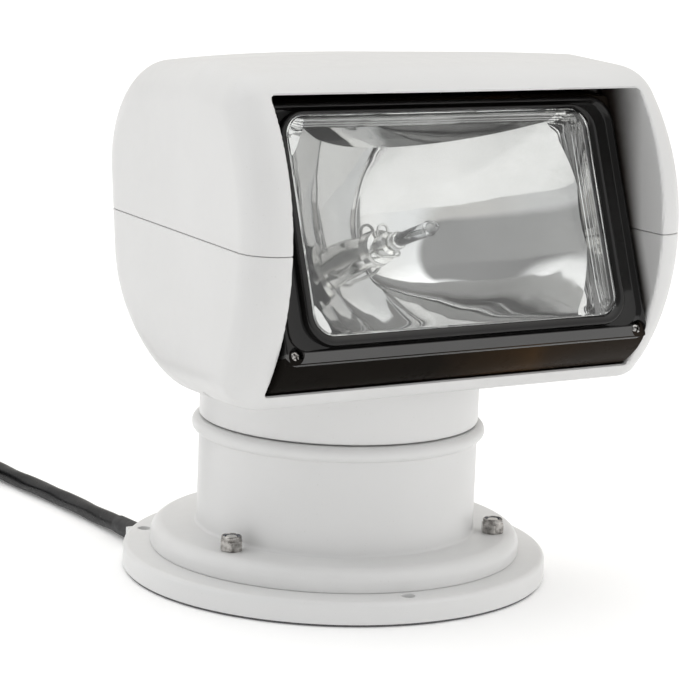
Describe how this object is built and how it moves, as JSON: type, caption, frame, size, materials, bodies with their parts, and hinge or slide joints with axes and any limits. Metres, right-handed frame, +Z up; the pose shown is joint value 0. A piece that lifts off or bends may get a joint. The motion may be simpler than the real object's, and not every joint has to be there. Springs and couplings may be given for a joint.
{
  "type": "marine searchlight",
  "caption": "White deck-mounted remote-control searchlight: a panning head on a round pedestal, with a tilting rectangular halogen lamp, and a black power cable.",
  "frame": {"origin": "on the pan axis at the underside of the deck gasket", "axes": "+Z up along the pan axis; the lamp faces -Y; +X is to the right for a viewer looking at the lamp along +Y"},
  "size_m": [0.2506, 0.3659, 0.2045],
  "materials": {
    "white_shell": "smooth satin-gloss white moulding",
    "black_gloss": "polished black moulding",
    "black_rubber": "matt black rubber",
    "stainless": "bright stainless steel",
    "zinc_steel": "zinc-plated steel",
    "nylon": "natural nylon",
    "glass": "clear",
    "reflector": "vacuum-metallised bright",
    "gasket_foam": "closed-cell foam",
    "cable_sheath": "satin black sheath over twisted cores",
    "motor_can": "plated motor can",
    "black_matte": "black nylon",
    "insert_nylon": "dark nylon ring"
  },
  "bodies": {
    "base": {"deck_gasket": "gasket_foam", "deck_flange": "white_shell", "pedestal": "white_shell", "foot_studs": "stainless", "foot_nuts": "stainless", "nut_inserts": "insert_nylon", "thrust_washer": "nylon", "pan_motor": "motor_can", "pan_motor_bracket": "zinc_steel", "pan_bracket_screws": "zinc_steel", "cable_grommet": "black_rubber", "power_cable": "cable_sheath", "cable_coil": "cable_sheath", "coil_tie": "black_matte", "cable_connector": "black_matte", "connector_collar": "black_matte"},
    "head": {"lower_shell": "white_shell", "upper_shell": "white_shell", "shell_screws": "stainless", "pan_hub": "nylon", "hub_screws": "zinc_steel", "pan_gear": "nylon", "pan_gear_screws": "zinc_steel", "hub_grommet": "black_rubber", "trunnion_bushes": "nylon", "tilt_motor": "motor_can", "tilt_motor_bracket": "zinc_steel", "tilt_bracket_screws": "zinc_steel", "terminal_block": "black_matte"},
    "lamp": {"lamp_bucket": "black_gloss", "trunnion_pins": "stainless", "tilt_sector": "nylon", "sector_screws": "zinc_steel", "bezel": "black_gloss", "bezel_screws": "stainless", "lens_glass": "glass", "lens_gasket": "black_rubber", "reflector": "reflector", "bulb_glass": "glass", "bulb_base": "stainless", "bulb_clip": "zinc_steel", "rear_boot": "black_rubber"},
    "pan_drive": {"pan_pinion": "nylon"},
    "tilt_drive": {"tilt_pinion": "nylon"}
  },
  "joints": [
    {"name": "pan", "type": "hinge", "parent": "base", "child": "head", "pos_m": [0, 0, 0.061], "axis": [0, 0, 1], "range_deg": [-185, 185]},
    {"name": "tilt", "type": "hinge", "parent": "head", "child": "lamp", "pos_m": [0, -0.06, 0.141], "axis": [-1, 0, 0], "range_deg": [-40, 5]},
    {"name": "pan_pinion_spin", "type": "hinge", "parent": "base", "child": "pan_drive", "pos_m": [0.02546, 0.02546, 0.049], "axis": [0, 0, 1], "range_deg": [-930, 930]},
    {"name": "tilt_pinion_spin", "type": "hinge", "parent": "head", "child": "tilt_drive", "pos_m": [-0.026, 0.00795, 0.15298], "axis": [-1, 0, 0], "range_deg": [-50, 360]}
  ],
  "couplings": [
    {"joint": "pan_pinion_spin", "follows": "pan", "ratio": -5},
    {"joint": "tilt_pinion_spin", "follows": "tilt", "ratio": -8.8571}
  ]
}
